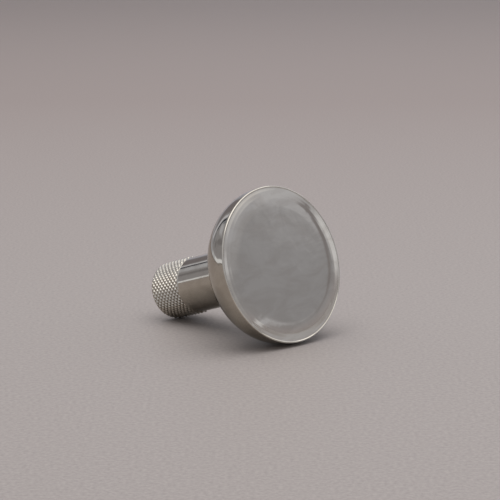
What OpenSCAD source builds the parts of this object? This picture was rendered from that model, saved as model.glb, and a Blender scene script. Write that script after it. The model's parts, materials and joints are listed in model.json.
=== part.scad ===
// A cabinet knob turned from one bar: a broad mirror-polished head on a slim stem,
// with a diamond-knurled band at the foot of the stem and a tapped hole up the middle.
// The knob stands on its foot: the origin is the centre of the mounting face, and the
// head is at the top. Sizes are in millimetres.

/* [Knob] */
// Height from the mounting face to the middle of the head
knob_h = 35.8; // [28:0.1:50]

/* [Head] */
// Diameter of the head
head_d = 32; // [26:0.5:42]
// Diameter of the flat middle of the face
face_flat_d = 23; // [16:0.5:25]
// Radius of the roll that carries the face down towards the rim
face_roll_r = 16; // [12:0.5:40]
// Radius of the bright rounding at the rim
rim_round_r = 0.5; // [0.3:0.05:0.9]
// Height of the straight wall below the rim rounding
rim_wall_h = 0.9; // [0.3:0.1:3]
// Radius of the back of the head, from the wall in towards the stem
back_r = 8.4; // [5:0.1:8.8]
// Radius of the fillet where the head meets the stem
neck_fillet_r = 1.2; // [0.4:0.1:1.6]

/* [Stem] */
// Diameter of the plain stem
stem_d = 11.6; // [9.4:0.1:11.8]

/* [Knurled band] */
// Length of the knurled band, from the mounting face
knurl_len = 9; // [5:0.25:16]
// Step from the plain stem out to the floor of the grooves
knurl_step = 0.05; // [0.03:0.01:0.2]
// Depth of the grooves between the diamonds
knurl_depth = 0.28; // [0.15:0.01:0.45]
// Width of one diamond round the stem
diamond_w = 1.2; // [0.9:0.05:2]
// Height of one diamond along the stem
diamond_h = 1.06; // [0.8:0.02:2]
// Radius of the rounding round the foot
foot_round_r = 1.2; // [0.4:0.1:1.4]

/* [Tapped hole] */
// Diameter of the bore before the thread is cut, for an M4 screw
bore_d = 3.3; // [2.5:0.1:5]
// Depth of the full bore
bore_depth = 14; // [8:0.5:20]
// Point angle of the drill that made the bore
drill_point = 118; // [90:1:140]
// Width of the chamfer round the mouth of the bore
mouth_chamfer = 0.45; // [0.2:0.05:0.8]

/* [Hidden] */

head_r = head_d / 2;
flat_r = face_flat_d / 2;
stem_r = stem_d / 2;
root_r = stem_r + knurl_step;
tip_r = root_r + knurl_depth;
bore_r = bore_d / 2;
overlap = 1;
plain_grey = "#b9b6b1";

// The rim rounding touches both the roll of the face and the straight wall
roll_z = knob_h - face_roll_r;
rim_x = head_r - rim_round_r;
rim_dx = rim_x - flat_r;
rim_dz = sqrt(pow(face_roll_r - rim_round_r, 2) - pow(rim_dx, 2));
rim_z = roll_z + rim_dz;
roll_end = atan2(rim_dz, rim_dx);

// Heights down the head: end of the wall, then the lowest line of the back
wall_low_z = rim_z - rim_wall_h;
back_low_z = wall_low_z - back_r;
back_x = head_r - back_r;

// The neck fillet touches the stem and the back of the head. On a small head it touches
// the round of the back, a little way up, and otherwise its lowest line
neck_x = stem_r + neck_fillet_r;
neck_reach = back_r + neck_fillet_r;
neck_dx = max(0, neck_x - back_x);
neck_dz = sqrt(pow(neck_reach, 2) - pow(neck_dx, 2));
neck_z = wall_low_z - neck_dz;
neck_share = neck_fillet_r / neck_reach;

// Diamonds: tips and roots stand on a chessboard of half steps
half_cols = 2 * round(2 * PI * tip_r / diamond_w);
half_rows = round(2 * knurl_len / diamond_h);
row_h = knurl_len / half_rows;
knurl_rows = concat([0, 0.5], [for (row = [1 : half_rows]) row]);

$fn = 96;

// What a round stretch of an outline adds outside the straight line between its two ends
module round_stretch(centre, radius, from, to) {
    function ray(angle, length) = centre + length * [cos(angle), sin(angle)];
    reach = 2 * radius;
    intersection() {
        translate(centre) circle(radius);
        polygon([
            ray(from, radius),
            ray(from, reach),
            ray((from + to) / 2, reach),
            ray(to, reach),
            ray(to, radius),
        ]);
    }
}

// Half section of the head: straight edges first, then the roll, the rim and the back
module head_outline() {
    polygon([
        [0, knob_h],
        [flat_r, knob_h],
        [flat_r + face_roll_r * cos(roll_end), roll_z + face_roll_r * sin(roll_end)],
        [head_r, rim_z],
        [head_r, wall_low_z],
        [back_x, back_low_z],
        [0, back_low_z],
    ]);
    round_stretch([flat_r, roll_z], face_roll_r, roll_end, 90);
    round_stretch([rim_x, rim_z], rim_round_r, 0, roll_end);
    round_stretch([back_x, wall_low_z], back_r, -90, 0);
}

// Half section of the neck: the stem with its fillet up to the head
module neck_outline() {
    translate([0, knurl_len - overlap]) square([stem_r, back_low_z - knurl_len + 2 * overlap]);
    difference() {
        translate([stem_r - overlap, neck_z])
            square([
                neck_fillet_r - neck_dx * neck_share + overlap,
                neck_dz * neck_share + overlap / 2,
            ]);
        translate([neck_x, neck_z]) circle(neck_fillet_r);
    }
}

// The foot is rounded: no point of the band stands outside this radius
function foot_r(z) =
    let (drop = max(0, foot_round_r - z))
    tip_r - foot_round_r + sqrt(pow(foot_round_r, 2) - pow(drop, 2));

// Radius at a half step up the band: roots and tips alternate as on a chessboard, and the
// last ring has no tips, so the diamonds slope down to the stem there
function knurl_r(row, col) =
    let (tip = row < half_rows && (row + col) % 2 != 0)
    min(tip ? tip_r : root_r, foot_r(row * row_h));

// One ring of the chessboard
function knurl_ring(row) = [
    for (col = [0 : half_cols - 1])
        let (angle = 360 * col / half_cols, r = knurl_r(row, col))
            [r * cos(angle), r * sin(angle), row * row_h]
];

// Each square of the board is folded along the line between its two roots
function knurl_fold(ring, col) =
    let (
        next = (col + 1) % half_cols,
        a = ring * half_cols + col,
        b = ring * half_cols + next,
        c = (ring + 1) * half_cols + next,
        d = (ring + 1) * half_cols + col
    )
    (knurl_rows[ring] + col) % 2 == 0 ? [[a, c, b], [a, d, c]] : [[a, d, b], [b, d, c]];

// The knurled band as a solid with pyramids all round
module knurled_band() {
    rings = len(knurl_rows);
    points = [for (row = knurl_rows) each knurl_ring(row)];
    sides = [for (ring = [0 : rings - 2], col = [0 : half_cols - 1]) each knurl_fold(ring, col)];
    foot = [for (col = [0 : half_cols - 1]) col];
    top = [for (col = [half_cols - 1 : -1 : 0]) (rings - 1) * half_cols + col];
    polyhedron(points, concat([foot, top], sides));
}

// The tapping bore, with the drill's point and the chamfer at its mouth
module bore() {
    point_h = bore_r / tan(drill_point / 2);
    translate([0, 0, -overlap]) cylinder(h = bore_depth + overlap, r = bore_r);
    translate([0, 0, bore_depth]) cylinder(h = point_h, r1 = bore_r, r2 = 0);
    translate([0, 0, -overlap])
        cylinder(h = mouth_chamfer + overlap, r1 = bore_r + mouth_chamfer + overlap, r2 = bore_r);
}

// The whole knob is one piece of metal
module knob() {
    color(plain_grey)
    difference() {
        union() {
            rotate_extrude() head_outline();
            rotate_extrude() neck_outline();
            knurled_band();
        }
        bore();
    }
}

knob();
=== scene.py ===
"""A polished nickel cabinet knob with a diamond-knurled foot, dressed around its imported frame."""

import json
import math

import bmesh
import bpy
from mathutils import Matrix, Vector


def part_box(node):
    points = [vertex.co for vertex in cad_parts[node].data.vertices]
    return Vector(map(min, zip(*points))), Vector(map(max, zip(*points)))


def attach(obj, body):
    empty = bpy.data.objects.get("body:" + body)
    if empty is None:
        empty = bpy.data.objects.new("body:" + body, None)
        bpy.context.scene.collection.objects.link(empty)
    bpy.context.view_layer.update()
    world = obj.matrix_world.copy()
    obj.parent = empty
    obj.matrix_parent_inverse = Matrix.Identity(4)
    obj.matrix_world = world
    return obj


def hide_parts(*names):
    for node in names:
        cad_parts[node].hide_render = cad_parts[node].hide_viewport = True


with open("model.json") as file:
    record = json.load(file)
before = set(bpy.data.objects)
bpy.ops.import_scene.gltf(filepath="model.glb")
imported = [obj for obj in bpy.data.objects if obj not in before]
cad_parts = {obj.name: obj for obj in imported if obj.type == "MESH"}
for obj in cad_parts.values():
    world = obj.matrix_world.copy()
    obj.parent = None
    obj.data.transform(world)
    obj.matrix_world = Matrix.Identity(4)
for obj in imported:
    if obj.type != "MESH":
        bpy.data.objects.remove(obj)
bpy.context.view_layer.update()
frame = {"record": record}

bl_info = {
    "name": "Knurled Knob",
    "version": (1, 0, 0),
    "blender": (4, 5, 0),
    "location": "View3D > Sidebar > Knob",
    "description": "Builds a polished nickel cabinet knob with a diamond-knurled foot",
    "category": "Add Mesh",
}

MM = 0.001
KNOB_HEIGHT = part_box("knob")[1].z
TAPPED_HOLE = next(mount for mount in frame["record"]["mounts"] if mount["name"] == "screw_hole")

# Where the middle of the knob's face stands in the picture, in pixels of a picture of this width
PICTURE_WIDTH = 500
FACE_CENTRE = (284.6, 263.5)

# The mesh has whole steps to each diamond, so that its grooves run along the edges of the mesh
STEPS_PER_DIAMOND = 12
STEPS_PER_HALF_ROW = STEPS_PER_DIAMOND // 2

# Points of the mesh that are closer than this are one point
WELD = 1e-7

# How steeply the knurl's flanks start, where 1 is a pyramid with straight flanks
FLANK_STEEPNESS = 1.45

# Rings of the flat middle of the face, as shares of its radius, and of the flat end of the foot,
# as shares of the way out from the hole, and how many times fewer points than the rim they have
FACE_RINGS = ((0.12, 16), (0.4, 4), (0.8, 1), (0.985, 1), (1, 1))
FOOT_RINGS = ((0.98, 1), (0.7, 1), (0.2, 4), (0, 4))

# A drill for metal has this point, so the tapped hole ends in a cone of the same angle
DRILL_POINT = math.radians(118)

# The wave texture draws its rings this far apart at a scale of 1
RING_SPACING = math.pi / 10

# Numbers of the colour inputs and of the colour output of a Mix node
MIX_A = 6
MIX_B = 7
MIXED = 2

# Numbers of the knob's two materials on its mesh
MIRROR = 0
SATIN = 1

# The camera's focal length goes with a sensor of this width
SENSOR_WIDTH_MM = 36


def length(name, description, default_mm):
    """A size that is typed in the scene's units; its default is given in millimetres."""
    return bpy.props.FloatProperty(
        name=name, description=description, default=default_mm * MM, min=0, precision=5, unit="LENGTH"
    )


def position(name, description, default_mm):
    """A place on the table, from below the middle of the foot to the right or away from the camera."""
    return bpy.props.FloatProperty(
        name=name, description=description, default=default_mm * MM, precision=5, unit="LENGTH"
    )


def share(name, description, default):
    """A value from nothing to the whole, such as a roughness."""
    return bpy.props.FloatProperty(name=name, description=description, default=default, min=0, max=1)


def angle(name, description, default_degrees):
    """An angle whose default is given in degrees."""
    return bpy.props.FloatProperty(
        name=name, description=description, default=math.radians(default_degrees), unit="ROTATION"
    )


def linear(hex_colour):
    """The linear colour, with alpha, of an sRGB hex value such as #a8a29e."""
    channels = [int(hex_colour[i : i + 2], 16) / 255 for i in (1, 3, 5)]
    return (*(c / 12.92 if c <= 0.04045 else ((c + 0.055) / 1.055) ** 2.4 for c in channels), 1.0)


def colour(name, description, hex_colour):
    """A colour whose default is given as an sRGB hex value."""
    return bpy.props.FloatVectorProperty(
        name=name, description=description, default=linear(hex_colour), size=4, min=0, max=1, subtype="COLOR"
    )


class KnobSizes(bpy.types.PropertyGroup):
    """The sizes of the knob"""

    height: length("Height", "From the mounting face to the middle of the head", KNOB_HEIGHT / MM)
    head_d: length("Head diameter", "Diameter of the head", 32)
    face_flat_d: length("Flat of the face", "Diameter of the flat middle of the face", 23)
    face_roll_r: length("Face roll", "Radius of the roll that carries the face down to the rim", 16)
    rim_round_r: length("Rim rounding", "Radius of the bright rounding at the rim", 0.5)
    rim_wall_h: length("Rim wall", "Height of the straight wall below the rim", 0.9)
    ripple_pitch: length("Ripple pitch", "From one turned ripple to the next, towards the rim", 0.8)
    ripple_slope: angle("Ripple slope", "How far the ripples tip the metal at the rim", 2.4)
    bead_w: length("Bead width", "Width of the rim from the valley inside its fine bead", 0.44)
    bead_valley_r: length("Bead valley", "Radius of the valley inside the bead", 0.1)
    bead_lip_r: length("Bead lip", "Radius of the bead's own crest", 0.08)
    bead_slope: angle("Bead slope", "Angle of the bead's inner slope to the flat of the face", 29)
    bead_side_w: length("Bead side", "Width of the straight side between the valley and the crest", 0.12)
    back_r: length("Back radius", "Radius of the back of the head", 8.4)
    neck_fillet_r: length("Neck fillet", "Radius where the head meets the stem", 1.2)
    stem_d: length("Stem diameter", "Diameter of the plain stem", 11.6)
    knurl_len: length("Knurl length", "Length of the knurled band, from the foot", 9)
    knurl_step: length("Knurl step", "From the plain stem out to the floor of the grooves", 0.05)
    knurl_depth: length("Knurl depth", "Depth of the grooves between the diamonds", 0.28)
    foot_round_r: length("Foot rounding", "Radius round the foot", 1.2)
    mouth_chamfer: length("Mouth chamfer", "Width of the chamfer round the hole", 0.45)
    bore_d: length("Bore", "Diameter of the hole inside its thread", 2 * TAPPED_HOLE["dims"]["r_mm"])
    bore_depth: length("Bore depth", "Depth of the full bore", 14)
    thread_pitch: length("Thread pitch", "Distance from one turn of the thread to the next", 0.7)
    thread_depth: length("Thread depth", "How far the thread is cut into the wall", 0.35)
    thread_len: length("Thread length", "How far up the hole the thread is cut", 12.4)
    diamonds_round: bpy.props.IntProperty(
        name="Diamonds round", description="How many diamonds go round the foot", default=32, min=8
    )
    half_rows: bpy.props.IntProperty(
        name="Half rows", description="How many half diamonds go up the band", default=17, min=2
    )


class KnobFinish(bpy.types.PropertyGroup):
    """The finish of the metal"""

    nickel: colour("Nickel", "Colour of the polished plate", "#d6cfc1")
    nickel_hazed: colour("Hazed nickel", "Colour of the plate where handling has dulled it", "#ccc4b6")
    roughness: share("Roughness", "Roughness of the mirror polish", 0.02)
    haze_roughness: share("Haze roughness", "Roughness where handling has dulled the plate", 0.1)
    haze_size: length("Haze size", "Height of the cloudy patches on the lying knob's face", 3.5)
    wave_size: length("Wave size", "Length of the waves that the buffing wheel leaves", 3.0)
    wave_height: length("Wave height", "Height of those waves", 0.016)
    ring_pitch: length("Ring pitch", "From one fine turned ring to the next, near the rim", 0.4)
    ring_height: length("Ring height", "Height of the fine turned rings", 0.001)
    ring_start: length("Ring start", "How far below the flat of the face these rings begin", 0.1)
    ring_full: length("Ring full", "How far below the flat they are at their full height", 0.4)
    face_edge: length("Face edge", "How far above the rim's middle the face's own polish is full", 0.4)
    satin: colour("Satin nickel", "Colour of the duller patches on the flat of the foot", "#a29b90")
    satin_patch: length("Satin patches", "Size of those patches", 1.5)
    satin_ring_pitch: length("Tool rings", "From one ring of the turning tool to the next", 0.4)
    satin_ring_height: length("Tool ring height", "Height of the rings of the turning tool", 0.003)


class StudioSettings(bpy.types.PropertyGroup):
    """The table, the light and the camera"""

    lens: bpy.props.FloatProperty(
        name="Lens", description="Focal length in millimetres", default=129.6, min=10
    )
    distance: length("Distance", "From the camera to the plane through the middle of the face", 360.27)
    camera_height: angle("Camera height", "Angle at which the camera looks down on the table", 10.52)
    facing: angle("Facing", "How far the knob's axis turns towards the camera, from the right", 46.13)
    lying_side: angle("Lying side", "Side of the knob that lies on the table, from its X axis", -2.13)
    table: colour("Table", "Colour of the matt laminate table top", "#a09895")
    # Painted shade: the table top darkens towards this far colour behind the knob
    table_far_shade: colour("Far table", "Colour of the table top far behind the knob", "#968a86")
    far_from: length("Far from", "How far behind the knob the table top has its far colour", 450)
    table_roughness: share("Table roughness", "Roughness of the laminate", 0.55)
    table_reach: length("Table reach", "From the knob to each edge of the table top", 4000)
    grain_size: length("Grain size", "Size of the laminate's fine grain", 0.7)
    grain_height: length("Grain height", "Height of that grain", 0.02)
    backdrop: colour("Backdrop", "Colour behind the table, from the other sides", "#a39d9b")
    softbox_size: length("Softbox", "Side of the square softbox over the table", 1400)
    softbox_height: length("Softbox height", "Height of the softbox over the table", 1200)
    fill: colour("Fill", "Plain light from all round that fills the shadows", "#bababa")
    softbox_level: bpy.props.FloatProperty(
        name="Softbox level",
        description="How bright the softbox looks, where 1 is white",
        default=2.05,
        min=0,
    )


class MirroredTable(bpy.types.PropertyGroup):
    """Painted light and shade that the polished metal sees on the table top, and the camera doesn't"""

    # Painted shade on the table top on the left, which only the metal sees
    left_shade_level: share("Left level", "Brightness of the table top on the left", 0.78)
    left_start: position("Left start", "Where the table top starts to dim towards the left", 10)
    left_full: position("Left full", "Where it has dimmed in full", -20)
    # Painted shadow under the stem, which only the metal sees
    shadow_level: share("Shadow level", "Brightness of the table top under the stem", 0.5)
    shadow_east: position("Shadow east", "Middle of the deeper shadow under the stem, to the right", 5)
    shadow_north: position("Shadow north", "Middle of that shadow, away from the camera", -19)
    shadow_reach: length("Shadow reach", "How far that shadow reaches", 26)
    shadow_core: length("Shadow core", "How far it is at its deepest", 5.2)
    # Painted light close on the right, which only the metal sees, giving way to a plain colour further off
    pale: colour("Pale table", "Colour of the table top close on the right", "#b0b2bc")
    pale_start: position("Pale start", "Where the table top starts to turn pale", 15)
    pale_full: position("Pale full", "Where it is pale in full", 40)
    plain: colour("Plain table", "Colour of the table top further to the right", "#9e9ca1")
    plain_start: position("Plain start", "Where the pale colour starts to give way to the plain one", 30)
    plain_full: position("Plain full", "Where it has given way in full", 110)


def arc(centre_r, centre_z, radius, start, end, steps):
    """A round stretch of the outline, from one angle in degrees to another, without its first point."""
    angles = (math.radians(start + (end - start) * step / steps) for step in range(1, steps + 1))
    return [(centre_r + radius * math.cos(a), centre_z + radius * math.sin(a)) for a in angles]


def line(r0, z0, r1, z1, steps):
    """A straight stretch of the outline, without its first point."""
    return [(r0 + (r1 - r0) * step / steps, z0 + (z1 - z0) * step / steps) for step in range(1, steps + 1)]


def roll_to_rim(sizes):
    """From the centre of the face's roll to the centre of the rim's rounding: outward and upward."""
    outward = sizes.head_d / 2 - sizes.rim_round_r - sizes.face_flat_d / 2
    return outward, math.sqrt((sizes.face_roll_r - sizes.rim_round_r) ** 2 - outward**2)


def wall_low(sizes):
    """Height of the lower end of the straight wall under the rim."""
    return sizes.height - sizes.face_roll_r + roll_to_rim(sizes)[1] - sizes.rim_wall_h


def rim_bead(sizes, start_r, start_z, roll_slope):
    """The rim: a fine bead round the face, with a valley inside it, and the rounding down to the wall."""
    points = [(start_r, start_z)]

    def follow(radius, slope_from, slope_to, steps):
        """Goes on round an arc, between two angles of the metal below the flat of the face."""
        sign = 1 if slope_to > slope_from else -1
        r, z = points[-1]
        for step in range(1, steps + 1):
            slope = slope_from + (slope_to - slope_from) * step / steps
            outward = sign * radius * (math.sin(slope) - math.sin(slope_from))
            upward = sign * radius * (math.cos(slope) - math.cos(slope_from))
            points.append((r + outward, z + upward))

    follow(sizes.bead_valley_r, roll_slope, -sizes.bead_slope, steps=4)
    side_r, side_z = points[-1]
    side_h = sizes.bead_side_w * math.tan(sizes.bead_slope)
    points.append((side_r + sizes.bead_side_w, side_z + side_h))
    follow(sizes.bead_lip_r, -sizes.bead_slope, roll_slope, steps=4)
    round_w = sizes.head_d / 2 - points[-1][0]
    follow(round_w / (1 - math.sin(roll_slope)), roll_slope, math.pi / 2, steps=12)
    return points[1:]


def turned_ripples(sizes, outline):
    """The roll of the face with the shallow ripples that turning and buffing leave towards the rim."""
    depth = math.tan(sizes.ripple_slope) * sizes.ripple_pitch / (2 * math.pi)
    start_r, end_r = sizes.face_flat_d / 2, outline[-1][0]
    rippled = []
    for r, z in outline:
        growth = ((r - start_r) / (end_r - start_r)) ** 2
        wave = math.sin(2 * math.pi * (end_r - r) / sizes.ripple_pitch)
        rippled.append((r, z - depth * growth * wave))
    return rippled


def head_and_stem_outline(sizes):
    """Half section of the metal from the flat of the face out over the rim and down to the band."""
    flat_r = sizes.face_flat_d / 2
    head_r = sizes.head_d / 2
    stem_r = sizes.stem_d / 2
    roll_z = sizes.height - sizes.face_roll_r
    roll_slope = math.asin((head_r - sizes.bead_w - flat_r) / sizes.face_roll_r)
    roll_end = 90 - math.degrees(roll_slope)
    roll = arc(flat_r, roll_z, sizes.face_roll_r, 90, roll_end, steps=40)
    bead = rim_bead(sizes, *roll[-1], roll_slope)
    wall_low_z = wall_low(sizes)
    back_r = head_r - sizes.back_r
    back_low_z = wall_low_z - sizes.back_r
    neck_r = stem_r + sizes.neck_fillet_r
    neck_z = back_low_z - sizes.neck_fillet_r
    band_z = sizes.knurl_len + sizes.knurl_step
    # One more ring close over the band keeps the shading of its grooves off the plain stem
    return (
        turned_ripples(sizes, roll)
        + bead
        + line(*bead[-1], head_r, wall_low_z, steps=2)
        + arc(back_r, wall_low_z, sizes.back_r, 0, -90, steps=40)
        + line(back_r, back_low_z, neck_r, back_low_z, steps=1)
        + arc(neck_r, neck_z, sizes.neck_fillet_r, 90, 180, steps=9)
        + line(stem_r, neck_z, stem_r, band_z + sizes.knurl_step, steps=6)
        + line(stem_r, band_z + sizes.knurl_step, stem_r, band_z, steps=1)
    )


def knurl_share(column, row, rows):
    """How high the band stands at a step of its mesh, as a share of the knurl's depth."""

    def ramp(steps):
        part = (steps / STEPS_PER_DIAMOND) % 1
        return 1 - abs(2 * part - 1)

    pyramid = min(ramp(column + row), ramp(column - row))
    run_out = min(1.0, (rows - row) / STEPS_PER_HALF_ROW)
    # The flanks are steep, as the wheel cuts them, and plating rounds off the tops
    return run_out * (FLANK_STEEPNESS * pyramid - (FLANK_STEEPNESS - 1) * pyramid**3)


def foot_limit(z, tip_r, foot_round_r):
    """The rounding round the foot: nothing stands outside this radius."""
    drop = max(0.0, foot_round_r - z)
    return tip_r - foot_round_r + math.sqrt(foot_round_r**2 - drop**2)


class MeshMaker:
    """Collects rings of points round the knob's axis, and the faces between them."""

    def __init__(self):
        self.points = []
        self.faces = []
        self.finishes = []

    def ring(self, radii, heights):
        """Adds a ring, counter-clockwise from above, and gives the numbers of its points."""
        start = len(self.points)
        count = len(radii)
        for i, (r, z) in enumerate(zip(radii, heights)):
            around = 2 * math.pi * i / count
            self.points.append((r * math.cos(around), r * math.sin(around), z))
        return list(range(start, start + count))

    def round_ring(self, r, z, columns):
        """Adds a plain circle."""
        return self.ring([r] * columns, [z] * columns)

    def join(self, first, second, finish=MIRROR):
        """Faces from one ring to the next; one of them may have several points to each of the other's."""
        edges = min(len(first), len(second))
        for i in range(edges):
            sides = []
            for points in (first, second):
                step = len(points) // edges
                sides.append([points[(i * step + k) % len(points)] for k in range(step + 1)])
            self.faces.append([*reversed(sides[0]), *sides[1]])
            self.finishes.append(finish)

    def fan(self, ring, z, inward_first, finish=MIRROR):
        """Closes a ring with faces to one point on the axis."""
        self.points.append((0, 0, z))
        tip = len(self.points) - 1
        for i, point in enumerate(ring):
            after = ring[(i + 1) % len(ring)]
            self.faces.append([tip, point, after] if inward_first else [tip, after, point])
            self.finishes.append(finish)

    def add(self, face, finish=MIRROR):
        """Adds one face."""
        self.faces.append(face)
        self.finishes.append(finish)


def make_face_flat(maker, sizes, columns):
    """The flat middle of the face: few faces at the centre, all the columns at its edge."""
    flat_r = sizes.face_flat_d / 2
    rings = [
        maker.round_ring(flat_r * outward, sizes.height, columns // fewer) for outward, fewer in FACE_RINGS
    ]
    maker.fan(rings[0], sizes.height, inward_first=True)
    for inner, outer in zip(rings, rings[1:]):
        maker.join(inner, outer)
    return rings[-1]


def make_knurl(maker, sizes, above, columns):
    """The band: its diamonds stand on a mesh whose diagonals are the grooves."""
    stem_r = sizes.stem_d / 2
    root_r = stem_r + sizes.knurl_step
    tip_r = root_r + sizes.knurl_depth
    rows = sizes.half_rows * STEPS_PER_HALF_ROW
    row_h = sizes.knurl_len / rows

    def knurl_ring(row):
        z = row * row_h
        limit = foot_limit(z, tip_r, sizes.foot_round_r)
        radii = [
            min(root_r + sizes.knurl_depth * knurl_share(column, row, rows), limit)
            for column in range(columns)
        ]
        return maker.ring(radii, [z] * columns)

    # Below this row the rounding of the foot cuts even the grooves away
    lowest = next(
        row for row in range(rows) if foot_limit(row * row_h, tip_r, sizes.foot_round_r) >= root_r
    )
    upper = knurl_ring(rows)
    maker.join(above, upper)
    for row in range(rows - 1, lowest - 1, -1):
        lower = knurl_ring(row)
        for i in range(columns):
            after = (i + 1) % columns
            a, b, c, d = upper[i], lower[i], lower[after], upper[after]
            if (i - row) % STEPS_PER_HALF_ROW == 0:
                maker.add([a, b, d])
                maker.add([b, c, d])
            else:
                maker.add([a, b, c])
                maker.add([a, c, d])
        upper = lower
    return upper, lowest * row_h


def make_foot(maker, sizes, above, cut_z, columns):
    """The rounding round the foot, its flat end and the chamfer at the mouth of the hole."""
    tip_r = sizes.stem_d / 2 + sizes.knurl_step + sizes.knurl_depth
    centre_r = tip_r - sizes.foot_round_r
    start = math.degrees(math.asin((cut_z - sizes.foot_round_r) / sizes.foot_round_r))
    for r, z in arc(centre_r, sizes.foot_round_r, sizes.foot_round_r, start, -90, steps=9):
        ring = maker.round_ring(r, z, columns)
        maker.join(above, ring)
        above = ring
    mouth_r = sizes.bore_d / 2 + sizes.mouth_chamfer
    for outward, fewer in FOOT_RINGS:
        ring = maker.round_ring(mouth_r + (centre_r - mouth_r) * outward, 0, columns // fewer)
        maker.join(above, ring, finish=SATIN)
        above = ring
    ring = maker.round_ring(sizes.bore_d / 2, sizes.mouth_chamfer, len(above))
    maker.join(above, ring, finish=SATIN)
    return ring


def make_hole(maker, sizes, mouth):
    """The tapped hole: a thread of flat crests, flanks and flat roots, and the drill's point."""
    bore_r = sizes.bore_d / 2
    low, high = sizes.mouth_chamfer, sizes.thread_len
    columns = len(mouth)
    # The thread along one turn: both ends of its crest and both ends of its root, each with its
    # place as a share of the pitch and how deep it is cut
    profile = ((0, 0), (0.25, 0), (0.5625, 1), (0.6875, 1))
    turns = math.ceil((high - low) / sizes.thread_pitch) + 1

    def corner(i, k):
        turn, part = divmod(k + len(profile) * (i // columns), len(profile))
        along, cut = profile[part]
        z = low + sizes.thread_pitch * (turn + along + (i % columns) / columns)
        held = min(max(z, low), high)
        # The thread starts and runs out over half its pitch at each end
        half_pitches = 2 * min(held - low, high - held) / sizes.thread_pitch
        r = bore_r + sizes.thread_depth * cut * min(1.0, half_pitches)
        around = 2 * math.pi * i / columns
        return (r * math.cos(around), r * math.sin(around), held)

    first = -len(profile)
    last = turns * len(profile)
    number = {}
    for i in range(columns + 1):
        for k in range(first, last + 1):
            number[i, k] = len(maker.points)
            maker.points.append(corner(i, k))
    for i in range(columns):
        for k in range(first, last):
            corners = ((i, k), (i, k + 1), (i + 1, k + 1), (i + 1, k))
            maker.add([number[place] for place in corners], finish=SATIN)
    top = maker.round_ring(bore_r, high, columns)
    plain = maker.round_ring(bore_r, sizes.bore_depth, columns)
    maker.join(top, plain, finish=SATIN)
    point_z = sizes.bore_depth + bore_r / math.tan(DRILL_POINT / 2)
    maker.fan(plain, point_z, inward_first=False, finish=SATIN)


def break_shading_in_grooves(welded, sizes, cut_z):
    """The knurling wheel leaves the bottoms of the grooves sharp: there the shading breaks."""
    root_r = sizes.stem_d / 2 + sizes.knurl_step
    for edge in welded.edges:
        edge.smooth = not all(
            abs(point.co.xy.length - root_r) < WELD and cut_z < point.co.z < sizes.knurl_len
            for point in edge.verts
        )


def knob_mesh(sizes):
    """The whole knob as one closed mesh."""
    columns = sizes.diamonds_round * STEPS_PER_DIAMOND
    maker = MeshMaker()
    ring = make_face_flat(maker, sizes, columns)
    for r, z in head_and_stem_outline(sizes):
        after = maker.round_ring(r, z, columns)
        maker.join(ring, after)
        ring = after
    ring, cut_z = make_knurl(maker, sizes, ring, columns)
    mouth = make_foot(maker, sizes, ring, cut_z, columns)
    make_hole(maker, sizes, mouth)

    mesh = bpy.data.meshes.new("turned_knob")
    mesh.from_pydata(maker.points, [], maker.faces)
    mesh.polygons.foreach_set("material_index", maker.finishes)
    mesh.shade_smooth()
    welded = bmesh.new()
    welded.from_mesh(mesh)
    bmesh.ops.remove_doubles(welded, verts=welded.verts, dist=WELD)
    bmesh.ops.recalc_face_normals(welded, faces=welded.faces)
    break_shading_in_grooves(welded, sizes, cut_z)
    welded.to_mesh(mesh)
    welded.free()
    return mesh


def add_node(tree, kind, *values, output=0, inputs=None, **settings):
    """Adds a node with its settings and links, and gives one of its outputs.

    Values go to its inputs in order, and inputs by name or number. Each is a value, or another
    node's output to link from.
    """
    node = tree.nodes.new(kind)
    for name, setting in settings.items():
        setattr(node, name, setting)
    for key, value in [*enumerate(values), *(inputs or {}).items()]:
        if isinstance(value, bpy.types.NodeSocket):
            tree.links.new(value, node.inputs[key])
        else:
            node.inputs[key].default_value = value
    return node.outputs[output] if node.outputs else node


def new_material(name):
    """An empty node material and its node tree."""
    material = bpy.data.materials.new(name)
    material.use_nodes = True
    material.node_tree.nodes.clear()
    return material, material.node_tree


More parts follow.
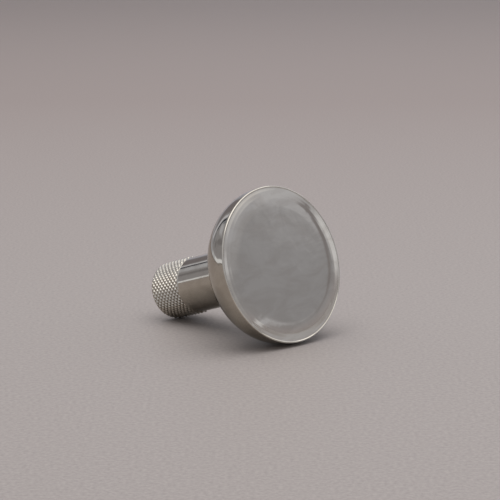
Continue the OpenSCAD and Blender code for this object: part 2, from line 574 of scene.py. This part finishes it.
def mirror_polished_nickel(finish, sizes):
    """Nickel plate buffed to a mirror over turned brass.

    The eye gets a warm grey mirror. The buffing wheel leaves it in faint waves, the face keeps a
    trace of its turned rings near the rim, and handling leaves cloudy patches of haze.
    """
    material, tree = new_material("mirror_polished_nickel")
    place = add_node(tree, "ShaderNodeTexCoord", output="Object")
    height = add_node(tree, "ShaderNodeSeparateXYZ", place, output="Z")
    rim_z = sizes.height - sizes.face_roll_r + roll_to_rim(sizes)[1]
    on_face = add_node(tree, "ShaderNodeMapRange", height, rim_z, rim_z + finish.face_edge)
    rings_start_z, rings_full_z = sizes.height - finish.ring_start, sizes.height - finish.ring_full
    near_rim = add_node(tree, "ShaderNodeMapRange", height, rings_start_z, rings_full_z)

    # Patches of haze, and finer cloudy streaks in them
    drawn_out = add_node(tree, "ShaderNodeMapping", place, inputs={"Scale": (1.0, 0.4, 1.0)})
    patches = add_node(
        tree,
        "ShaderNodeTexNoise",
        inputs={
            "Vector": drawn_out,
            "Scale": 1 / finish.haze_size,
            "Detail": 4.0,
            "Roughness": 0.6,
            "Distortion": 0.8,
        },
    )
    haze = add_node(tree, "ShaderNodeMapRange", patches, 0.38, 0.68, interpolation_type="SMOOTHSTEP")
    roughness = add_node(tree, "ShaderNodeMapRange", haze, 0.0, 1.0, finish.roughness, finish.haze_roughness)
    tint = add_node(
        tree,
        "ShaderNodeMix",
        haze,
        inputs={MIX_A: finish.nickel, MIX_B: finish.nickel_hazed},
        output=MIXED,
        data_type="RGBA",
    )

    # Waves from the buffing wheel
    waves = add_node(
        tree,
        "ShaderNodeTexNoise",
        inputs={
            "Vector": place,
            "Scale": 1 / finish.wave_size,
            "Detail": 1.5,
            "Roughness": 0.45,
            "Distortion": 0.5,
        },
    )
    wave_share = add_node(tree, "ShaderNodeMapRange", on_face, 0.0, 1.0, 0.6, 1.0)
    wave_bump = add_node(
        tree,
        "ShaderNodeBump",
        inputs={"Strength": wave_share, "Distance": finish.wave_height, "Height": waves},
    )
    # Turned rings near the rim
    rings = add_node(
        tree,
        "ShaderNodeTexWave",
        inputs={
            "Vector": place,
            "Scale": RING_SPACING / finish.ring_pitch,
            "Distortion": 1.0,
            "Detail Scale": 0.4,
        },
        output="Fac",
        wave_type="RINGS",
        rings_direction="Z",
    )
    ring_share = add_node(tree, "ShaderNodeMath", on_face, near_rim, operation="MULTIPLY")
    surface = add_node(
        tree,
        "ShaderNodeBump",
        inputs={
            "Strength": ring_share,
            "Distance": finish.ring_height,
            "Height": rings,
            "Normal": wave_bump,
        },
    )
    shader = add_node(
        tree,
        "ShaderNodeBsdfPrincipled",
        inputs={"Base Color": tint, "Metallic": 1.0, "Roughness": roughness, "Normal": surface},
    )
    add_node(tree, "ShaderNodeOutputMaterial", shader)
    return material


def satin_turned_nickel(finish):
    """Nickel plate over a turned end that is never buffed: the flat of the foot and the thread.

    The eye gets a duller, darker grey than on the mirror, with the rings that the tool left.
    """
    material, tree = new_material("satin_turned_nickel")
    place = add_node(tree, "ShaderNodeTexCoord", output="Object")
    # Real tool rings are about 0.1 mm apart, too fine to show: here they are four times as coarse
    rings = add_node(
        tree,
        "ShaderNodeTexWave",
        inputs={"Vector": place, "Scale": RING_SPACING / finish.satin_ring_pitch, "Distortion": 0.6},
        output="Fac",
        wave_type="RINGS",
        rings_direction="Z",
    )
    grey = add_node(
        tree,
        "ShaderNodeTexNoise",
        inputs={"Vector": place, "Scale": 1 / finish.satin_patch, "Detail": 3.0},
    )
    tint = add_node(
        tree,
        "ShaderNodeMix",
        grey,
        inputs={MIX_A: finish.nickel, MIX_B: finish.satin},
        output=MIXED,
        data_type="RGBA",
    )
    roughness = add_node(tree, "ShaderNodeMapRange", grey, 0.3, 0.7, 0.2, 0.32)
    surface = add_node(
        tree,
        "ShaderNodeBump",
        inputs={"Strength": 1.0, "Distance": finish.satin_ring_height, "Height": rings},
    )
    shader = add_node(
        tree,
        "ShaderNodeBsdfPrincipled",
        inputs={"Base Color": tint, "Metallic": 1.0, "Roughness": roughness, "Normal": surface},
    )
    add_node(tree, "ShaderNodeOutputMaterial", shader)
    return material


class KNOB_OT_turned_knob(bpy.types.Operator):
    """Build the knob as one turned and knurled piece with its tapped hole"""

    bl_idname = "knob.turned_knob"
    bl_label = "Turned knob"

    def execute(self, context):
        scene = context.scene
        piece = bpy.data.objects.new("turned_knob", knob_mesh(scene.knob_sizes))
        scene.collection.objects.link(piece)
        piece.data.materials.append(mirror_polished_nickel(scene.knob_finish, scene.knob_sizes))
        piece.data.materials.append(satin_turned_nickel(scene.knob_finish))
        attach(piece, "root")
        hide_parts("knob")
        return {"FINISHED"}


class Stage:
    """The directions of the table top on which the knob lies, and the height of its plane."""

    def __init__(self, sizes, studio):
        # The knob lies on the rounding of its foot and the round of its back: the table is the
        # plane that touches both
        foot_r = sizes.stem_d / 2 + sizes.knurl_step + sizes.knurl_depth - sizes.foot_round_r
        back_r, back_z = sizes.head_d / 2 - sizes.back_r, wall_low(sizes)
        across, along = back_r - foot_r, back_z - sizes.foot_round_r
        reach = math.hypot(across, along)
        tilt = math.acos((sizes.foot_round_r - sizes.back_r) / reach) - math.atan2(along, across)
        side = Vector((math.cos(studio.lying_side), math.sin(studio.lying_side), 0))
        axis = Vector((0, 0, 1))
        self.up = axis * math.sin(tilt) - side * math.cos(tilt)
        level = (axis - self.up * axis.dot(self.up)).normalized()
        self.east = Matrix.Rotation(studio.facing, 3, self.up) @ level
        self.north = self.up.cross(self.east)
        touching = side * foot_r + axis * sizes.foot_round_r - self.up * sizes.foot_round_r
        self.height = touching.dot(self.up)

    def turn(self):
        """Turns the world's axes to east, north and up."""
        return Matrix((self.east, self.north, self.up)).transposed().to_4x4()


# What the polished metal sees round the table: soft cards, each with the middle of its place
# (degrees clockwise from straight ahead of the camera, degrees above the table), its half
# width, its half height and the width of its soft edge, in degrees, how far it leans for each
# degree up, its colour, and how bright it is, where 1 shows the colour as it is
CARDS = (
    # Two cards on the near side, behind the camera
    (180, 12, 60, 22, 16, 0, "#b4b6be", 1),
    (180, 50, 62, 16, 16, 0, "#c4c6ce", 1),
    # Sweep of the backdrop behind the table
    (28, 9, 32, 10, 12, 0, "#bcbec8", 1),
    (-14, 2.5, 9, 5, 5, 0, "#b1aeb7", 1),
    # Dim cards beyond the foot of the knob, and one small pale card among them
    (-62, 27, 44, 24, 6, 0, "#94949b", 1),
    (-25, 27, 10, 19, 4, 0, "#7b777c", 1),
    (-61, 11, 4, 3, 4, 0, "#808086", 1),
    (-70, 16.5, 5, 2.5, 3, -0.5, "#7f7e84", 1),
    (-56, 22.5, 5, 2.2, 2.5, 2, "#b3b6c1", 1),
    # A narrow pale strip, and a nearly black one beside it that leans away at both ends
    (-40, 15.5, 2.2, 11, 1.6, -0.06, "#c8cad6", 1),
    (-56, 32, 1.6, 8, 2, -0.95, "#7f838c", 1),
    (-49.3, 10, 1.2, 3.4, 1.2, 0.7, "#5c626c", 1),
    (-45.5, 20.5, 1.7, 6, 1.2, 0.05, "#343a44", 1),
    # Low pale strip along the far edge of the table
    (-46, 1.4, 8, 1.3, 2, 0, "#a6aab4", 1),
    (-63, 1.5, 9, 1.6, 2, 0, "#c4c9d4", 1),
    (-79, 1.7, 9, 1.8, 1.6, 0, "#e0e4ee", 1),
    # Cards as bright as lamps: a broad one overhead, and strips lower on the right
    (0, 90, 180, 34, 10, 0, "#fafbff", 1.6),
    (50, 47, 34, 6, 6, 0, "#fafbff", 1.6),
    (112, 49, 24, 7, 5, 0, "#fafbff", 1.1),
    (45, 29, 9, 12, 6, 0.6, "#fafbff", 1.4),
    # Pale cards to the right, and two dim ones between them
    (76, 27.5, 15, 5.5, 4, 0, "#c5c8d4", 1),
    (84, 19, 6, 4.5, 4, 0, "#bcbfcb", 1),
    (65.5, 10.5, 7, 7.5, 8, 0.25, "#dfe2ed", 1),
    (78.5, 14.5, 3.6, 6.5, 4, -1, "#8d8b92", 1),
    (72, 20.5, 5, 1, 2, 0, "#918f96", 1),
    # Leaning streak with a bright lower end
    (99.5, 6.2, 3, 3.2, 3.5, -1.9, "#bdc0cc", 1),
    (108.5, 2, 3.2, 1.2, 2.2, -1.5, "#d8dbe6", 1),
    # Pale card further round on the right
    (122, 22, 5, 5, 5, 0.3, "#cdd0dc", 1),
)

# Colour of the surroundings round the cards by degrees over the table, from straight down to
# straight up
SURROUNDINGS = (
    (-90, "#a8a2a0"),
    (-2, "#a8a4a8"),
    (2, "#a4a2aa"),
    (8, "#9d9ea7"),
    (14, "#9d9fa9"),
    (20, "#aaacb6"),
    (28, "#b6b9c5"),
    (34, "#d2d5e0"),
    (41, "#ecedf4"),
    (90, "#f7f6f7"),
)


def studio_world(studio, stage):
    """The cards round the table, painted by direction, for the metal and the table's faint sheen.

    A plain fill lights all else, and the camera itself sees a plain backdrop.
    """
    world = bpy.data.worlds.new("studio")
    world.use_nodes = True
    tree = world.node_tree
    tree.nodes.clear()
    direction = add_node(tree, "ShaderNodeTexCoord", output="Generated")
    east, north, up = (
        add_node(tree, "ShaderNodeVectorMath", direction, axis, output="Value", operation="DOT_PRODUCT")
        for axis in (stage.east, stage.north, stage.up)
    )
    bearing = add_node(tree, "ShaderNodeMath", east, north, operation="ARCTAN2")
    bearing = add_node(tree, "ShaderNodeMath", bearing, operation="DEGREES")
    rise = add_node(tree, "ShaderNodeMath", up, operation="ARCSINE")
    rise = add_node(tree, "ShaderNodeMath", rise, operation="DEGREES")

    up_share = add_node(tree, "ShaderNodeMapRange", rise, -90.0, 90.0)
    light = add_node(tree, "ShaderNodeValToRGB", up_share)
    ramp = light.node.color_ramp
    ramp.interpolation = "EASE"
    for _ in SURROUNDINGS[2:]:
        ramp.elements.new(0.5)
    for stop, (degrees, hex_colour) in zip(ramp.elements, SURROUNDINGS):
        stop.position = degrees / 180 + 0.5
        stop.color = linear(hex_colour)

    for card_bearing, card_rise, half_width, half_height, edge, lean, hex_colour, level in CARDS:
        off_rise = add_node(tree, "ShaderNodeMath", rise, card_rise, operation="SUBTRACT")
        middle = add_node(tree, "ShaderNodeMath", off_rise, lean, card_bearing, operation="MULTIPLY_ADD")
        around = add_node(
            tree, "ShaderNodeMath", bearing, card_bearing + 180, card_bearing - 180, operation="WRAP"
        )
        off_bearing = add_node(tree, "ShaderNodeMath", around, middle, operation="SUBTRACT")
        shares = []
        for off, half in ((off_bearing, half_width), (off_rise, half_height)):
            away = add_node(tree, "ShaderNodeMath", off, operation="ABSOLUTE")
            shares.append(
                add_node(
                    tree,
                    "ShaderNodeMapRange",
                    away,
                    half + edge / 2,
                    max(0.0, half - edge / 2),
                    interpolation_type="SMOOTHSTEP",
                )
            )
        card_share = add_node(tree, "ShaderNodeMath", *shares, operation="MULTIPLY")
        light = add_node(
            tree,
            "ShaderNodeMix",
            card_share,
            inputs={MIX_A: light, MIX_B: [channel * level for channel in linear(hex_colour)]},
            output=MIXED,
            data_type="RGBA",
        )

    # Only a mirrored ray that has met nothing matt before finds the cards: others find the fill
    glossy = add_node(tree, "ShaderNodeLightPath", output="Is Glossy Ray")
    matt_before = add_node(tree, "ShaderNodeLightPath", output="Diffuse Depth")
    mirrored = add_node(tree, "ShaderNodeMath", glossy, matt_before, operation="GREATER_THAN")
    light = add_node(
        tree,
        "ShaderNodeMix",
        mirrored,
        inputs={MIX_A: studio.fill, MIX_B: light},
        output=MIXED,
        data_type="RGBA",
    )
    seen_by_camera = add_node(tree, "ShaderNodeLightPath", output="Is Camera Ray")
    light = add_node(
        tree,
        "ShaderNodeMix",
        seen_by_camera,
        inputs={MIX_A: light, MIX_B: studio.backdrop},
        output=MIXED,
        data_type="RGBA",
    )
    background = add_node(tree, "ShaderNodeBackground", light)
    add_node(tree, "ShaderNodeOutputWorld", background)
    return world


def matt_laminate(studio, mirrored):
    """The matt laminate of the table top, seen from above only.

    The eye gets a pale pinkish grey with a very fine grain, and a soft sheen at a low angle; far
    behind the knob its colour darkens, which is painted shade. The metal sees painted shade on the
    left, a painted shadow under the stem and painted light, pale and bluish, close on the right.
    """
    material, tree = new_material("matt_laminate")
    place = add_node(tree, "ShaderNodeTexCoord", output="Object")
    east = add_node(tree, "ShaderNodeSeparateXYZ", place, output="X")
    north = add_node(tree, "ShaderNodeSeparateXYZ", place, output="Y")
    # Painted shade: the table top darkens towards its far colour behind the knob
    far_share = add_node(tree, "ShaderNodeMapRange", north, 0.0, studio.far_from)
    near_or_far_shade = add_node(
        tree,
        "ShaderNodeMix",
        far_share,
        inputs={MIX_A: studio.table, MIX_B: studio.table_far_shade},
        output=MIXED,
        data_type="RGBA",
    )
    # The grain is finer than a tenth of a millimetre and wouldn't show: it is drawn coarser
    grain = add_node(
        tree,
        "ShaderNodeTexNoise",
        inputs={"Vector": place, "Scale": 1 / studio.grain_size, "Detail": 2.0, "Roughness": 0.6},
    )
    speckle = add_node(tree, "ShaderNodeMapRange", grain, 0.25, 0.75, 0.86, 1.14)
    in_metal = add_node(tree, "ShaderNodeLightPath", output="Is Glossy Ray")

    # Painted shade: the metal sees the table top dimmer on the left
    left = add_node(
        tree,
        "ShaderNodeMapRange",
        east,
        mirrored.left_start,
        mirrored.left_full,
        interpolation_type="SMOOTHSTEP",
    )
    left = add_node(tree, "ShaderNodeMath", left, in_metal, operation="MULTIPLY")
    dimmed = add_node(tree, "ShaderNodeMapRange", left, 0.0, 1.0, 1.0, mirrored.left_shade_level)
    level = add_node(tree, "ShaderNodeMath", speckle, dimmed, operation="MULTIPLY")

    # Painted shadow: the metal sees the table top darker under the stem
    under_stem = (mirrored.shadow_east, mirrored.shadow_north, 0.0)
    away = add_node(tree, "ShaderNodeVectorMath", place, under_stem, output="Value", operation="DISTANCE")
    near = add_node(tree, "ShaderNodeMapRange", away, mirrored.shadow_reach, mirrored.shadow_core)
    near = add_node(tree, "ShaderNodeMath", near, in_metal, operation="MULTIPLY")
    shade = add_node(tree, "ShaderNodeMapRange", near, 0.0, 1.0, 1.0, mirrored.shadow_level)
    level = add_node(tree, "ShaderNodeMath", level, shade, operation="MULTIPLY")
    tint = add_node(
        tree, "ShaderNodeVectorMath", near_or_far_shade, inputs={"Scale": level}, operation="SCALE"
    )

    # Painted light: the metal sees a pale bluish pool close on the right, plain grey further off
    right = add_node(
        tree,
        "ShaderNodeMapRange",
        east,
        mirrored.pale_start,
        mirrored.pale_full,
        interpolation_type="SMOOTHSTEP",
    )
    right = add_node(tree, "ShaderNodeMath", right, in_metal, operation="MULTIPLY")
    close = add_node(
        tree,
        "ShaderNodeMapRange",
        east,
        mirrored.plain_full,
        mirrored.plain_start,
        interpolation_type="SMOOTHSTEP",
    )
    pale_light_or_plain = add_node(
        tree,
        "ShaderNodeMix",
        close,
        inputs={MIX_A: mirrored.plain, MIX_B: mirrored.pale},
        output=MIXED,
        data_type="RGBA",
    )
    tint = add_node(
        tree,
        "ShaderNodeMix",
        right,
        inputs={MIX_A: tint, MIX_B: pale_light_or_plain},
        output=MIXED,
        data_type="RGBA",
    )
    surface = add_node(
        tree,
        "ShaderNodeBump",
        inputs={"Strength": 0.5, "Distance": studio.grain_height, "Height": grain},
    )
    shader = add_node(
        tree,
        "ShaderNodeBsdfPrincipled",
        inputs={
            "Base Color": tint,
            "Roughness": studio.table_roughness,
            "Specular IOR Level": 0.25,
            "Normal": surface,
        },
    )
    clear = add_node(tree, "ShaderNodeBsdfTransparent")
    from_below = add_node(tree, "ShaderNodeNewGeometry", output="Backfacing")
    one_sided = add_node(tree, "ShaderNodeMixShader", from_below, shader, clear)
    add_node(tree, "ShaderNodeOutputMaterial", one_sided)
    return material


def add_object(scene, name, data, place):
    """Adds an object to the scene with its place."""
    added = bpy.data.objects.new(name, data)
    scene.collection.objects.link(added)
    added.matrix_world = place
    return added


def add_table(scene, stage):
    """The table top: a plain square that the knob lies on."""
    reach = scene.knob_studio.table_reach
    corners = [(-reach, -reach, 0), (reach, -reach, 0), (reach, reach, 0), (-reach, reach, 0)]
    top = bpy.data.meshes.new("table")
    top.from_pydata(corners, [], [(0, 1, 2, 3)])
    top.materials.append(matt_laminate(scene.knob_studio, scene.knob_mirrored_table))
    table = add_object(scene, "table", top, Matrix.Translation(stage.up * stage.height) @ stage.turn())


def add_softbox(scene, stage):
    """The one lamp: a large square softbox over the table."""
    studio = scene.knob_studio
    lamp = bpy.data.lights.new("softbox", "AREA")
    lamp.size = studio.softbox_size
    # Pi times its area makes a lamp of level 1 look as bright as white
    lamp.energy = math.pi * studio.softbox_size**2 * studio.softbox_level
    above = Matrix.Translation(stage.up * (stage.height + studio.softbox_height))
    softbox = add_object(scene, "softbox", lamp, above @ stage.turn())
    softbox.visible_camera = False
    # The metal sees the bright card overhead, and not the lamp itself
    softbox.visible_glossy = False


def add_camera(scene, stage):
    """The camera: it looks down on the table, with the knob's face at its place in the picture."""
    sizes, studio = scene.knob_sizes, scene.knob_studio
    lens = bpy.data.cameras.new("camera")
    lens.sensor_width = SENSOR_WIDTH_MM
    lens.lens = studio.lens
    lens.clip_start = 10 * MM
    forward = stage.north * math.cos(studio.camera_height) - stage.up * math.sin(studio.camera_height)
    upward = stage.east.cross(forward)
    per_pixel = lens.sensor_width / lens.lens / PICTURE_WIDTH
    across = (FACE_CENTRE[0] - PICTURE_WIDTH / 2) * per_pixel
    below = (FACE_CENTRE[1] - PICTURE_WIDTH / 2) * per_pixel
    sight = forward + stage.east * across - upward * below
    place = Vector((0, 0, sizes.height)) - sight * studio.distance
    turn = Matrix((stage.east, upward, -forward)).transposed().to_4x4()
    scene.camera = add_object(scene, "camera", lens, Matrix.Translation(place) @ turn)


class KNOB_OT_studio(bpy.types.Operator):
    """Set the table, the soft light and the camera round the knob"""

    bl_idname = "knob.studio"
    bl_label = "Studio"

    def execute(self, context):
        scene = context.scene
        stage = Stage(scene.knob_sizes, scene.knob_studio)
        add_table(scene, stage)
        add_softbox(scene, stage)
        scene.world = studio_world(scene.knob_studio, stage)
        add_camera(scene, stage)
        scene.view_settings.view_transform = "Standard"
        return {"FINISHED"}


class KNOB_PT_sidebar(bpy.types.Panel):
    """Lists the knob's operators in the sidebar"""

    bl_idname = "KNOB_PT_sidebar"
    bl_label = "Knurled knob"
    bl_space_type = "VIEW_3D"
    bl_region_type = "UI"
    bl_category = "Knob"

    def draw(self, context):
        layout = self.layout
        for operator in OPERATORS:
            layout.operator(operator.bl_idname)


OPERATORS = (KNOB_OT_turned_knob, KNOB_OT_studio)
CLASSES = (KnobSizes, KnobFinish, StudioSettings, MirroredTable, *OPERATORS, KNOB_PT_sidebar)


def register():
    for cls in CLASSES:
        bpy.utils.register_class(cls)
    bpy.types.Scene.knob_sizes = bpy.props.PointerProperty(type=KnobSizes)
    bpy.types.Scene.knob_finish = bpy.props.PointerProperty(type=KnobFinish)
    bpy.types.Scene.knob_studio = bpy.props.PointerProperty(type=StudioSettings)
    bpy.types.Scene.knob_mirrored_table = bpy.props.PointerProperty(type=MirroredTable)


def unregister():
    del bpy.types.Scene.knob_sizes
    del bpy.types.Scene.knob_finish
    del bpy.types.Scene.knob_studio
    del bpy.types.Scene.knob_mirrored_table
    for cls in reversed(CLASSES):
        bpy.utils.unregister_class(cls)


def main():
    """Builds everything in order."""
    register()
    bpy.ops.knob.turned_knob()
    bpy.ops.knob.studio()


if __name__ == "__main__":
    main()
